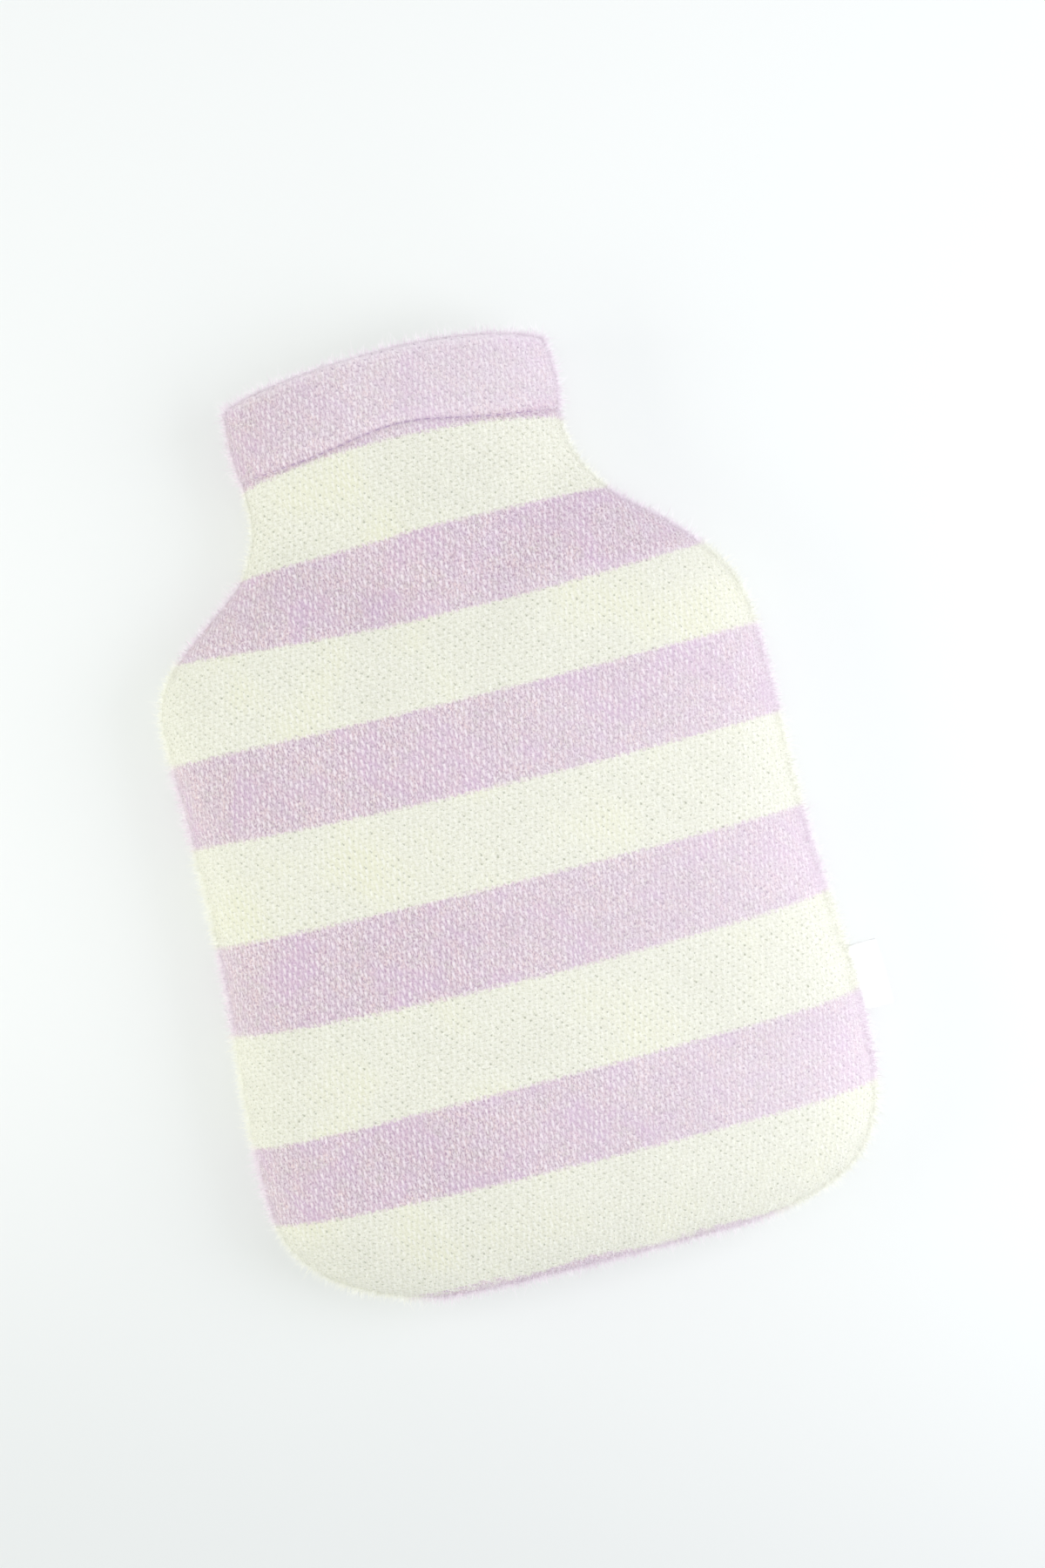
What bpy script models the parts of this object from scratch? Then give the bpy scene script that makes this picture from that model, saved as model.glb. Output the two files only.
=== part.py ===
"""A hot water bottle cover of brushed wool, full as if on its bottle and lying on its back.

Two panels of thick cloth meet at a seam round the sides and the bottom. At the neck each panel is
turned in as a hem, and the mouth between them is open. A blank ribbon tab stands out of the seam.

X runs across the cover, Y from the bottom seam to the mouth, Z up from the surface it lies on.
The origin is in the middle of the flat underside. Lengths are in metres.
"""

import bmesh
import bpy
import numpy as np

CLOTH = 0.0025  # thickness of the brushed cloth
SEAM_GAP = 0.0003  # between the panels, and round the tab
LIP = 0.0015  # the cloth rolls in to the seam over this radius
LIP_ANGLES = (30, 60, 90)  # degrees round that roll

HEM_DEPTH = 0.0275  # from the fold down to the line of stitches
HEM_GAP = 0.0004  # between the two layers of the hem
STITCH_SINK = 0.0011  # the stitches pull the cloth in by this much
STITCH_REACH = 0.0035  # on either side of the line. The turned-in cloth ends there
MOUTH_ARCH = 0.0057  # the fold stands further out in the middle than at the seams
ARCH_LEAN = 0.25  # and the arch is fuller on the right

TAB_LENGTH = 0.0245  # along the seam
TAB_FROM = -0.1045  # its lower end
TAB_OUT = 0.0122  # how far it stands out
TAB_CLEAR = 0.0001  # it starts this far outside the cloth's outline
TAB_RIBBON = 0.0005  # thickness of the ribbon
TAB_INNER_GAP = 0.0003  # between its two layers
TAB_DROOP = 0.0022  # its free end hangs this much below the seam
TAB_STATIONS = 6  # along the seam, and turns round its fold
TAB_TURNS = 5

# The outline in plan, from the middle of the bottom seam round to the mouth.
# station, left x, left y, right x, right y
OUTLINE = (
    ("bottom middle", 0.0, -0.1713, 0.0, -0.1713),
    ("bottom run", -0.0350, -0.1716, 0.0380, -0.1702),
    ("corner start", -0.0640, -0.1697, 0.0720, -0.1674),
    ("corner middle", -0.0955, -0.1550, 0.1000, -0.1557),
    ("corner end", -0.1095, -0.1370, 0.1122, -0.1360),
    ("lower side", -0.1122, -0.1080, 0.1148, -0.1060),
    ("side middle", -0.1080, -0.0300, 0.1097, -0.0250),
    ("upper side", -0.1088, 0.0300, 0.1097, 0.0280),
    ("shoulder start", -0.1095, 0.0560, 0.1083, 0.0530),
    ("shoulder corner", -0.1035, 0.0708, 0.1030, 0.0665),
    ("shoulder middle", -0.0860, 0.0855, 0.0860, 0.0860),
    ("neck foot", -0.0668, 0.1010, 0.0672, 0.1022),
    ("neck waist", -0.0604, 0.1180, 0.0571, 0.1220),
    ("band foot", -0.0612, 0.1345, 0.0577, 0.1360),
    ("band middle", -0.0627, 0.1480, 0.0594, 0.1480),
    ("mouth", -0.0616, 0.1583, 0.0580, 0.1580),
)
CORNER = 3  # the station where the bottom row of the cloth turns into the side
SEAM_EDGES = (np.s_[:, 0], np.s_[:, -1], np.s_[0, :])  # of the web: left side, right side, bottom

# Heights along the cover: the crown of the front, the underside, the seam, how far the front and
# the back take to round over to the seam, and how much lower each lies beside the seam.
# y, crown, underside, seam, front_round, back_round, front_fall, back_rise
HEIGHTS = (
    (-0.1750, 0.0385, 0.0, 0.0195, 0.036, 0.032, 0.0030, 0.0),
    (-0.1350, 0.0440, 0.0, 0.0195, 0.033, 0.032, 0.0050, 0.0),
    (-0.0800, 0.0470, 0.0, 0.0200, 0.030, 0.032, 0.0070, 0.0),
    (-0.0100, 0.0465, 0.0, 0.0200, 0.029, 0.032, 0.0070, 0.0),
    (0.0500, 0.0440, 0.0, 0.0200, 0.029, 0.032, 0.0070, 0.0),
    (0.0900, 0.0412, 0.0007, 0.0205, 0.027, 0.029, 0.0070, 0.0010),
    (0.1180, 0.0388, 0.0025, 0.0213, 0.023, 0.025, 0.0070, 0.0030),
    (0.1400, 0.0402, 0.0032, 0.0217, 0.022, 0.024, 0.0070, 0.0040),
    (0.1750, 0.0395, 0.0035, 0.0217, 0.022, 0.024, 0.0070, 0.0040),
)
HEIGHT_COLUMNS = ("crown", "underside", "seam", "front_round", "back_round", "front_fall", "back_rise")

# Soft hollows and swellings of the front, where the cloth drops beside the bottle's neck.
# name, x, y, half width, half length, height
FRONT_FORMS = (
    ("left hollow", -0.034, 0.084, 0.038, 0.026, -0.0026),
    ("right hollow", 0.050, 0.081, 0.036, 0.024, -0.0020),
    ("ridge over the bottle's neck", 0.008, 0.096, 0.024, 0.036, 0.0012),
    ("left side of the neck", -0.042, 0.118, 0.022, 0.018, -0.0012),
    ("right side of the neck", 0.034, 0.119, 0.022, 0.018, -0.0010),
)

# Rows of the mesh up each side and columns across. Both crowd towards the seams.
SIDE_STEPS = (0.0, 0.0012, 0.0045, 0.0100, 0.0180, 0.0280)  # up from the corner
BODY_ROWS = 11
SHOULDER_ROWS = 6
NECK_ROWS = 3
BAND_ROWS = 2
FOLD_ROWS = 5
EDGE_COLUMNS = (0.0, 0.0050, 0.0180, 0.0420, 0.0800, 0.1350)  # share of the width from each side
MIDDLE_COLUMNS = 13

LILAC = (0.70, 0.58, 0.69, 1.0)
CREAM = (0.82, 0.83, 0.74, 1.0)
RIBBON = (0.86, 0.86, 0.85, 1.0)


def clear_scene():
    for thing in list(bpy.data.objects):
        bpy.data.objects.remove(thing, do_unlink=True)


def cloth_material(name, colour, roughness):
    material = bpy.data.materials.new(name)
    material.use_nodes = True
    shader = material.node_tree.nodes["Principled BSDF"]
    shader.inputs["Base Color"].default_value = colour
    shader.inputs["Roughness"].default_value = roughness
    shader.inputs["Metallic"].default_value = 0.0
    return material


def smooth_line(points, steps=16):
    """Close points along a smooth line through the given ones (a centripetal Catmull-Rom line)."""
    points = np.asarray(points, float)
    whole = np.vstack([2 * points[0] - points[1], points, 2 * points[-1] - points[-2]])
    line = [points[0]]
    for k in range(len(points) - 1):
        a, b, c, d = whole[k : k + 4]
        ta = 0.0
        tb = ta + np.linalg.norm(b - a) ** 0.5
        tc = tb + np.linalg.norm(c - b) ** 0.5
        td = tc + np.linalg.norm(d - c) ** 0.5
        for t in np.linspace(tb, tc, steps + 1)[1:]:
            ab = (a * (tb - t) + b * (t - ta)) / (tb - ta)
            bc = (b * (tc - t) + c * (t - tb)) / (tc - tb)
            cd = (c * (td - t) + d * (t - tc)) / (td - tc)
            abc = (ab * (tc - t) + bc * (t - ta)) / (tc - ta)
            bcd = (bc * (td - t) + cd * (t - tb)) / (td - tb)
            line.append((abc * (tc - t) + bcd * (t - tb)) / (tc - tb))
    return np.array(line)


def eased(table, y, column):
    """A column of HEIGHTS at y, eased from one row to the next."""
    rows = np.array(table)
    at = np.clip(y, rows[0, 0], rows[-1, 0])
    k = np.clip(np.searchsorted(rows[:, 0], at, side="right") - 1, 0, len(rows) - 2)
    share = (at - rows[k, 0]) / (rows[k + 1, 0] - rows[k, 0])
    values = rows[:, 1 + HEIGHT_COLUMNS.index(column)]
    slopes = np.diff(values) / np.diff(rows[:, 0])
    before = np.concatenate([[0.0], slopes])
    after = np.concatenate([slopes, [0.0]])
    same_way = before * after > 0
    tangent = np.where(same_way, 2 * before * after / np.where(same_way, before + after, 1), 0)
    step = rows[k + 1, 0] - rows[k, 0]
    s2, s3 = share**2, share**3
    return (
        values[k] * (2 * s3 - 3 * s2 + 1)
        + values[k + 1] * (3 * s2 - 2 * s3)
        + tangent[k] * step * (s3 - 2 * s2 + share)
        + tangent[k + 1] * step * (s3 - s2)
    )


def distance_to(line, x, y):
    """How far each point lies from the line, in plan."""
    a, b = line[:-1], line[1:]
    along = b - a
    point = np.stack([x, y], axis=-1)[..., None, :]
    share = ((point - a) * along).sum(-1) / (along**2).sum(-1)
    nearest = a + np.clip(share, 0, 1)[..., None] * along
    return np.linalg.norm(point - nearest, axis=-1).min(-1)


def outline_lines():
    """The left and the right half of the outline, each from the bottom middle to the mouth."""
    left = smooth_line([(row[1], row[2]) for row in OUTLINE])
    right = smooth_line([(row[3], row[4]) for row in OUTLINE])
    return left, right


def column_shares():
    edge = np.array(EDGE_COLUMNS)
    middle = np.linspace(edge[-1], 1 - edge[-1], MIDDLE_COLUMNS)[1:-1]
    return np.concatenate([edge, middle, 1 - edge[::-1]])


def side_heights(line, corner):
    """The y of each row where it meets one side, from the corner to the mouth."""
    start, mouth = line[corner, 1], line[-1, 1]
    station = {row[0]: row[2] for row in OUTLINE}
    fold = CLOTH + HEM_GAP / 2
    stitches = mouth + fold - HEM_DEPTH
    low = start + np.array(SIDE_STEPS)
    body = np.linspace(low[-1], station["shoulder start"], BODY_ROWS + 1)[1:]
    shoulder = np.linspace(body[-1], station["neck foot"], SHOULDER_ROWS + 1)[1:]
    below = stitches - STITCH_REACH
    neck = np.linspace(shoulder[-1], below, NECK_ROWS + 1)[1:]
    band = np.linspace(stitches + STITCH_REACH, mouth, BAND_ROWS + 1)
    return np.concatenate([low, body, shoulder, neck, [stitches], band])


def plan_grid(left, right, corner):
    """Where each row and column of the cloth lies in plan: an even web between the four edges."""
    shares = column_shares()
    sides = []
    for line in (left, right):
        y = side_heights(line, corner)
        sides.append(np.stack([np.interp(y, line[corner:, 1], line[corner:, 0]), y], axis=-1))
    bottom = np.vstack([left[corner:0:-1], right[: corner + 1]])
    x = bottom[0, 0] + shares * (bottom[-1, 0] - bottom[0, 0])
    first = np.stack([x, np.interp(x, bottom[:, 0], bottom[:, 1])], axis=-1)
    across = 2 * shares - 1
    arch = MOUTH_ARCH * (1 - across**2) * (1 + ARCH_LEAN * across)
    last = sides[0][-1] + shares[:, None] * (sides[1][-1] - sides[0][-1])
    last[:, 1] += arch
    s = shares[None, :, None]
    up = (sides[0][:, 1] - sides[0][0, 1]) / (sides[0][-1, 1] - sides[0][0, 1])
    t = up[:, None, None]
    between_sides = sides[0][:, None] * (1 - s) + sides[1][:, None] * s
    between_ends = first[None] * (1 - t) + last[None] * t
    low = first[0] * (1 - s) + first[-1] * s
    high = last[0] * (1 - s) + last[-1] * s
    return between_sides + between_ends - (low * (1 - t) + high * t)


def rounded(distance, reach):
    """0 at the seam, 1 from reach inwards, standing upright at the seam."""
    share = np.clip(distance / reach, 0, 1)
    return np.sqrt(1 - (1 - share) ** 2)


def sunk_stitches(rows, columns):
    """How far the hem's stitches pull each row in. It fades out at the seams."""
    stitch_row = rows - 2 - BAND_ROWS
    sink = np.zeros((rows, columns))
    across = np.linspace(-1, 1, columns)
    sink[stitch_row] = STITCH_SINK * (1 - across**6)
    return sink


def outer_face(web, outline, front):
    """The cloth's outer face over the web, for the front or for the back."""
    x, y = web[..., 0], web[..., 1]
    rows, columns = x.shape
    distance = distance_to(outline, x, y)
    for edge in SEAM_EDGES:
        distance[edge] = 0.0
    middle = (x[:, :1] + x[:, -1:]) / 2
    across = (x - middle) / (x[:, -1:] - middle)
    seam = eased(HEIGHTS, y, "seam")
    sink = sunk_stitches(rows, columns)
    if front:
        edge = seam + SEAM_GAP / 2 + LIP
        top = eased(HEIGHTS, y, "crown") - eased(HEIGHTS, y, "front_fall") * across**2
        for _, form_x, form_y, wide, long, height in FRONT_FORMS:
            off = ((x - form_x) / wide) ** 2 + ((y - form_y) / long) ** 2
            top = top + height * np.exp(-2 * off)
        z = edge + rounded(distance, eased(HEIGHTS, y, "front_round")) * (top - sink - edge)
    else:
        edge = seam - SEAM_GAP / 2 - LIP
        low = eased(HEIGHTS, y, "underside") + eased(HEIGHTS, y, "back_rise") * across**2
        z = edge - rounded(distance, eased(HEIGHTS, y, "back_round")) * (edge - low - sink)
    return np.dstack([x, y, z])


def outward(face, front):
    """The direction out of the cloth at each point. It is level along the seam."""
    normal = np.cross(np.gradient(face, axis=1), np.gradient(face, axis=0))
    normal *= 1 if front else -1
    for edge in SEAM_EDGES:
        normal[edge] = 0.0
    for edge in SEAM_EDGES:
        run = np.gradient(face[edge], axis=0)
        level = np.stack([run[:, 1], -run[:, 0], 0 * run[:, 0]], axis=-1)
        from_middle = face[edge] - face.mean(axis=(0, 1))
        level *= np.sign((level * from_middle).sum(-1, keepdims=True))
        normal[edge] += level / np.linalg.norm(level, axis=-1, keepdims=True)
    return normal / np.linalg.norm(normal, axis=-1, keepdims=True)


def with_hem(face, normal):
    """The rows of both faces of the cloth, up to the mouth, round its fold and down inside."""
    radius = CLOTH + HEM_GAP / 2
    outer_rows = [face[j] for j in range(len(face))]
    inner_rows = [face[j] - CLOTH * normal[j] for j in range(len(face))]
    up = face[-1] - face[-2]
    up -= (up * normal[-1]).sum(-1, keepdims=True) * normal[-1]
    up /= np.linalg.norm(up, axis=-1, keepdims=True)
    centre = face[-1] - radius * normal[-1]
    for angle in np.linspace(0, np.pi, FOLD_ROWS + 2)[1:-1]:
        way = np.cos(angle) * normal[-1] + np.sin(angle) * up
        outer_rows.append(centre + radius * way)
        inner_rows.append(centre + (radius - CLOTH) * way)
    turned = len(face) - 1 - (BAND_ROWS + 2)
    for j in range(len(face) - 1, turned, -1):
        outer_rows.append(face[j] - (2 * CLOTH + HEM_GAP) * normal[j])
        inner_rows.append(face[j] - (CLOTH + HEM_GAP) * normal[j])
    return np.array(outer_rows), np.array(inner_rows)


def seam_lip(outer, inner, front):
    """Points round the cloth's edge at the seam: a quarter round, then level to the inner face."""
    to_seam = np.array([0.0, 0.0, -1.0 if front else 1.0])
    through = (inner - outer) / CLOTH
    lip = []
    for angle in np.radians(LIP_ANGLES):
        lip.append(outer + LIP * ((1 - np.cos(angle)) * through + np.sin(angle) * to_seam))
    lip.append(inner + LIP * to_seam)
    return lip


def panel(name, web, outline, front, material):
    """One panel as a closed solid: both faces, the rolled edge at the seam and the hem's raw edge."""
    face = outer_face(web, outline, front)
    outer, inner = with_hem(face, outward(face, front))
    rows, columns = outer.shape[:2]
    mesh = bmesh.new()
    outer_points = [[mesh.verts.new(p) for p in row] for row in outer]
    inner_points = [[mesh.verts.new(p) for p in row] for row in inner]
    for points in (outer_points, inner_points):
        for low, high in zip(points, points[1:]):
            for i in range(columns - 1):
                mesh.faces.new((low[i], low[i + 1], high[i + 1], high[i]))
    around = [(j, 0) for j in range(rows - 1, 0, -1)]
    around += [(0, i) for i in range(columns)]
    around += [(j, columns - 1) for j in range(1, rows)]
    edges = []
    for j, i in around:
        lip = [mesh.verts.new(p) for p in seam_lip(outer[j, i], inner[j, i], front)]
        edges.append([outer_points[j][i], *lip, inner_points[j][i]])
    for this, following in zip(edges, edges[1:]):
        for k in range(len(this) - 1):
            mesh.faces.new((this[k], following[k], following[k + 1], this[k + 1]))
    raw_outer, raw_inner = outer_points[-1], inner_points[-1]
    for i in range(columns - 1):
        mesh.faces.new((raw_outer[i], raw_outer[i + 1], raw_inner[i + 1], raw_inner[i]))
    mesh.faces.new(edges[0])
    mesh.faces.new(edges[-1])
    return finished(name, mesh, material)


def finished(name, mesh, material):
    """The mesh as a smooth-shaded object with its faces pointing out."""
    bmesh.ops.recalc_face_normals(mesh, faces=mesh.faces)
    data = bpy.data.meshes.new(name)
    mesh.to_mesh(data)
    mesh.free()
    data.shade_smooth()
    data.set_sharp_from_angle(angle=np.radians(50))
    data.materials.append(material)
    thing = bpy.data.objects.new(name, data)
    bpy.context.collection.objects.link(thing)
    return thing


def tab_section():
    """The folded ribbon end on, as distances out and up: round both layers, fold outwards."""
    outer = TAB_RIBBON + TAB_INNER_GAP / 2
    inner = TAB_INNER_GAP / 2
    reach = TAB_OUT - outer
    run = np.linspace(0, reach, TAB_STATIONS)[:-1]
    turns = np.linspace(np.pi / 2, -np.pi / 2, TAB_TURNS)
    section = []
    for half in (outer, inner):
        layer = [(x, half) for x in run]
        layer += [(reach + half * np.cos(a), half * np.sin(a)) for a in turns]
        layer += [(x, -half) for x in run[::-1]]
        section += layer if half == outer else layer[::-1]
    return section


def label_tab(right, material):
    """The folded ribbon that stands out of the right seam, drooping a little."""
    section = tab_section()
    side = right[(right[:, 1] > TAB_FROM - TAB_LENGTH) & (right[:, 0] > right[:, 0].max() / 2)]
    mesh = bmesh.new()
    loops = []
    for y in np.linspace(TAB_FROM, TAB_FROM + TAB_LENGTH, TAB_STATIONS):
        root = np.interp(y, side[:, 1], side[:, 0]) + TAB_CLEAR
        seam = eased(HEIGHTS, y, "seam")
        loop = []
        for out, up in section:
            z = seam + up - TAB_DROOP * (out / TAB_OUT) ** 2
            loop.append(mesh.verts.new((root + out, y, z)))
        loops.append(loop)
    for this, following in zip(loops, loops[1:]):
        for k in range(len(section)):
            mesh.faces.new((this[k - 1], this[k], following[k], following[k - 1]))
    mesh.faces.new(loops[0])
    mesh.faces.new(loops[-1])
    return finished("label_tab", mesh, material)


def main():
    clear_scene()
    left, right = outline_lines()
    steps = (len(left) - 1) // (len(OUTLINE) - 1)
    corner = CORNER * steps
    web = plan_grid(left, right, corner)
    outline = np.vstack([left[:0:-1], right])
    wool = cloth_material("brushed_wool", LILAC, 0.95)
    back_wool = cloth_material("brushed_wool_back", CREAM, 0.95)
    panel("front_panel", web, outline, True, wool)
    panel("back_panel", web, outline, False, back_wool)
    label_tab(right, cloth_material("blank_ribbon", RIBBON, 0.6))


main()
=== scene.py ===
"""A hot water bottle cover of brushed wool, woven in wide lilac and cream stripes.

The cloth, its fuzz, the hem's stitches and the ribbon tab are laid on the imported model, which is
the frame. Lengths are in metres. X runs across the cover, Y from the bottom seam to the neck's
mouth, and Z up from the surface it lies on.
"""

import math

import bpy
import numpy as np
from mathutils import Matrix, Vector
from mathutils.bvhtree import BVHTree


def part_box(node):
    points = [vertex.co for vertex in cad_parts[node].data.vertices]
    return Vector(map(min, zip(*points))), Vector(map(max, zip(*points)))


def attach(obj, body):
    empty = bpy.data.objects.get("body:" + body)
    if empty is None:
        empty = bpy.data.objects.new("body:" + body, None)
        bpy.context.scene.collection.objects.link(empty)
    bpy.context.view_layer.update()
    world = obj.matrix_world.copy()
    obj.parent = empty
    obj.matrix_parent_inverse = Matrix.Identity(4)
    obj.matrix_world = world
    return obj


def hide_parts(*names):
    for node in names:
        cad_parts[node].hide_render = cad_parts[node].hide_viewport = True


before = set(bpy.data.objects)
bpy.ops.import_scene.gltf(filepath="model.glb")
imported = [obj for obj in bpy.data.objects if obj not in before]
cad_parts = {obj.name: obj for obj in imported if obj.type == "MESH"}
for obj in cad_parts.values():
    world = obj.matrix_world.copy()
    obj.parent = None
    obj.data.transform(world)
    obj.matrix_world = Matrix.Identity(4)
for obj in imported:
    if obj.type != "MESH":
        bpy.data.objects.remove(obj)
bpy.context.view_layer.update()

# The view: straight down from this place over the cover, turned a little
CAMERA_AT = (0.0133, 0.00435, 0.813)
CAMERA_TURN = math.radians(-13.3)
LENS = 50.0  # mm
SENSOR = 36.0  # mm, both ways

# The light: a white cove round it all, and softboxes
COVE_COLOUR = "#f5f9fc"
COVE_AT_HORIZON = 1.11  # how bright it is there, and overhead
COVE_OVERHEAD = 0.475
COVE_DIMS_TO = 0.6  # it is as dim as overhead from here up: the sine of the height in the sky
# name, place, size, watts, colour
SOFTBOXES = (
    ("high_softbox", (0.10, 0.05, 1.0), 0.8, 1.7, (1.0, 1.0, 0.95)),
    ("right_softbox", (0.66, -0.115, 0.54), 0.7, 4.3, (0.99, 0.99, 1.04)),
    ("left_softbox", (-0.80, 0.05, 0.30), 0.6, 3.3, (1.0, 1.0, 0.88)),
    ("far_softbox", (-0.15, 0.90, 0.24), 0.6, 0.7, (1.0, 1.0, 0.96)),
    ("near_softbox", (0.20, -0.90, 0.30), 0.6, 0.7, (1.0, 1.0, 1.0)),
)
TABLE_SIZE = 6.0
TABLE_TOP = -0.0002  # a hair's breadth under the cover
TABLE_COLOUR = "#c2c5c6"
TABLE_GLOW_COLOUR = "#f8f8f4"
TABLE_PAINTED_GLOW = (0.28, 0.395)  # painted glow: at the near left corner, and over the rest
TABLE_WAY = (0.45, 1.0, 0.0)  # the way from that corner
TABLE_GLOW_RISES = (-0.34, -0.08)  # between these, along that way, the painted glow rises

# The weave: a five-end satin
REPEAT = 0.0040  # five warp ends. A pick's warp floats come up this far apart
PICK = 0.00164  # from one weft yarn to the next: six to the centimetre
STEP = 0.0016  # two warp ends. Each pick's floats lie this far to the right of those above
FLOAT_HALF_WIDTH = 0.00066
FLOAT_HALF_LENGTH = 0.0025
FLOAT_LEAN = math.tan(math.radians(3))  # each float leans this much
FLOAT_CORE = 0.25  # the share of a float's half size that shows in full, before it fades
FLOAT_LEAST = 0.5  # how much the faintest float shows
FLOAT_ASIDE = 0.08  # floats lie unevenly, within this share of a repeat
FLOAT_ONWARD = 0.0004  # and within this along the warp
PINHOLE = 0.00058  # about the radius of the gap at a float's end
PINHOLE_LEAST = PINHOLE * 0.5  # the narrowest, and how much wider the widest is
PINHOLE_RANGE = PINHOLE * 0.7
PINHOLE_DEPTHS = 0.8  # under 1, so that more of them are deep
SIDE_HOLE = PINHOLE * 0.75  # a second, fainter gap beside the float
SIDE_HOLE_AT = (REPEAT * 0.3, -PICK * 0.35, 0.0)
SIDE_HOLE_DEPTH = 0.75
YARN_WANDER = 0.0012  # the yarns wander within this
WEAVE_BUMP = (0.5, 0.0004, 0.1)  # strength, depth and the usual filter width

# Each feature in the wool's look is a noise: how many to the metre, then its detail and roughness
# and, where they aren't the usual ones, its lacunarity and distortion.
WANDERS = (160.0, 1.0)  # 6 mm
PINK_CLOUDS = (150.0, 3.0, 0.6)  # 7 mm
GREY_CLOUDS = (240.0, 2.0, 0.6)  # 4 mm
VIOLET_PATCHES = (45.0, 3.0, 0.6, 2.0, 0.6)  # 22 mm
BROAD_SHADES = (28.0, 2.0)  # 36 mm
EDGE_TUFTS = (700.0, 3.0, 0.8)  # 1.4 mm, along the edge of a stripe
# A wool hair is too fine to show, so its specks and streaks are drawn 0.4 to 0.5 mm wide.
SPECKS = (1900.0, 2.0, 0.8)
WARP_HAIRS = (2400.0, 1000.0, 0.0)  # how many to the metre across, and along
WARP_HAIR_LOOK = (1.0, 2.0, 0.8, 2.0, 0.5)
WEFT_HAIRS = (500.0, 2400.0, 0.0)
WEFT_HAIR_LOOK = (1.0, 2.0, 0.7)
# Each range turns the values from its first to its second into those from its third to its fourth.
PINK_RANGE = (0.36, 0.64, 0.0, 1.0)
GREY_RANGE = (0.45, 0.75, 0.0, 1.0)
VIOLET_RANGE = (0.45, 0.70, 0.0, 0.55)
SPECK_RANGE = (0.3, 0.7, 0.0, 1.0)
STREAK_RANGE = (0.36, 0.62, 0.0, 1.0)
BOTH_HAIRS_RANGE = (0.75, 1.25, 0.0, 1.0)
WARM_RANGE = (0.5, 0.75, 0.0, 0.5)
SHADE_RANGE = (0.3, 0.7, 0.975, 1.015)
VALLEY_SHADE_RANGE = (0.0, 0.7, 0.965, 1.005)  # painted shade: the cloth is darker between two picks
GAP_RANGE = (0.0, 1.0, 1.0, 0.8)  # a gap shows a little less in the lilac cloth
# painted shade in the stitches' groove, where the nap is also pressed deeper in colour
GROOVE_SHADE_RANGE = (0.4, 1.0, 0.0, 0.3)
# How high the picks, the gaps and the hairs stand, when a float is 1
PICK_RELIEF = 0.5
GAP_RELIEF = -0.8
HAIR_RELIEF = 0.5

# The wool's colours
LILAC_BLUISH = "#e8dae4"
LILAC_PINKISH = "#f1dfdf"
LILAC_GREY = "#e2dcd8"
LILAC_DEEP = "#b798ae"
LILAC_VIOLET = "#d3b3d2"
LILAC_FLOAT = ("#ebdee6", "#faf2f6")  # the cream warp's floats over the lilac weft, dull and pale
LILAC_GAP = "#9f839d"
LILAC_PAINTED_LIT = "#f7eff5"  # the pale lilac that painted light mixes in
LILAC_GROOVE_SHADE = "#b79bbb"  # painted shade in the groove of the stitches, with the pressed nap's deeper colour
CREAM_YARN = ("#dcdbc9", "#f5f4ea")
CREAM_WARM = "#e7e6c9"
CREAM_FLOAT = "#f4f3e9"
CREAM_GAP = "#a9aa93"
# the pale cream that painted light mixes in
CREAM_PAINTED_LIT = "#fafaf2"
LILAC_FIBRE = ("#e6d6e3", "#fdf9fc")  # in the yarn's own colour, and pale
CREAM_FIBRE = ("#f3f3e8", "#fbfbf5")
CREAM_PAINTED_LIGHT_SHARE = 0.6  # painted light pales the cream cloth less than the lilac: this many times as much
STRIPE_BLUR = 0.1  # the dye changes within this, on a wave that swings between -1 and 1
TUFT_REACH = 0.14  # of a stripe: how unevenly one yarn's hairs cross into the next stripe

# The thread and the ribbon
THREAD_COLOUR = "#b79dbd"
THREAD_PLY = 0.0016
THREAD_UNEVEN = 0.4
THREAD_BUMP = (0.5, 0.0001, 0.1)
RIBBON_COLOUR = "#f8f8f8"
RIBBON_RIB = 0.0005
RIBBON_UNEVEN = 0.6
RIBBON_BUMP = (0.2, 0.0001, 0.1)

# The form of the cloth
MERGE = 0.000001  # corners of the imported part's triangles this close are one
NOT_ZERO = 1e-9  # the least length that a direction is divided by
QUAD_FOLD = math.radians(60)  # two triangles this far from flat, or from square, still make a quad
QUAD_SKEW = math.radians(75)
PANEL_LEVELS = 2
TAB_LEVELS = 1
SIDE_ROLL = 0.0265  # about how the body rounds over to its seams, and the neck
NECK_ROLL = 0.0190
SHOULDERS = (0.07, 0.10)  # between these the body's roundness goes over to the neck's
NECK_STRAIGHT = 0.12  # beyond this the cloth rounds over sideways alone
NECK_MIDDLE = 0.0198  # the middle height of the neck's flattened tube
NECK_HALF_WIDTH = 0.060
NECK_HALF_THICKNESS = 0.0165
# The cloth sinks beside a ridge in the middle of the neck's foot, in two troughs that meet below.
# name, from x and y, to x and y, half width, depth (a ridge's is less than nothing)
TROUGHS = (
    ("left shoulder trough", -0.040, 0.100, -0.020, 0.078, 0.0130, 0.0020),
    ("left trough's end", -0.030, 0.086, -0.014, 0.074, 0.0070, 0.0008),
    ("right shoulder trough", 0.048, 0.102, 0.020, 0.077, 0.0110, 0.0018),
    ("ridge over the neck", 0.002, 0.104, 0.006, 0.088, 0.0120, -0.0014),
    ("left crease at the neck", -0.052, 0.108, -0.030, 0.104, 0.0040, 0.0006),
    ("right crease at the neck", 0.054, 0.112, 0.034, 0.108, 0.0045, 0.0006),
    ("slack below the neck", -0.012, 0.066, 0.014, 0.066, 0.0110, 0.0006),
    ("slack on the left", -0.078, 0.062, -0.060, 0.030, 0.0120, 0.0006),
    ("slack on the right", 0.076, 0.058, 0.066, 0.022, 0.0110, -0.0005),
)
TROUGH_BASE = 0.012  # the troughs fade out down the sides, from their full depth this much higher
TROUGH_RISE = 0.020

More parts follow.
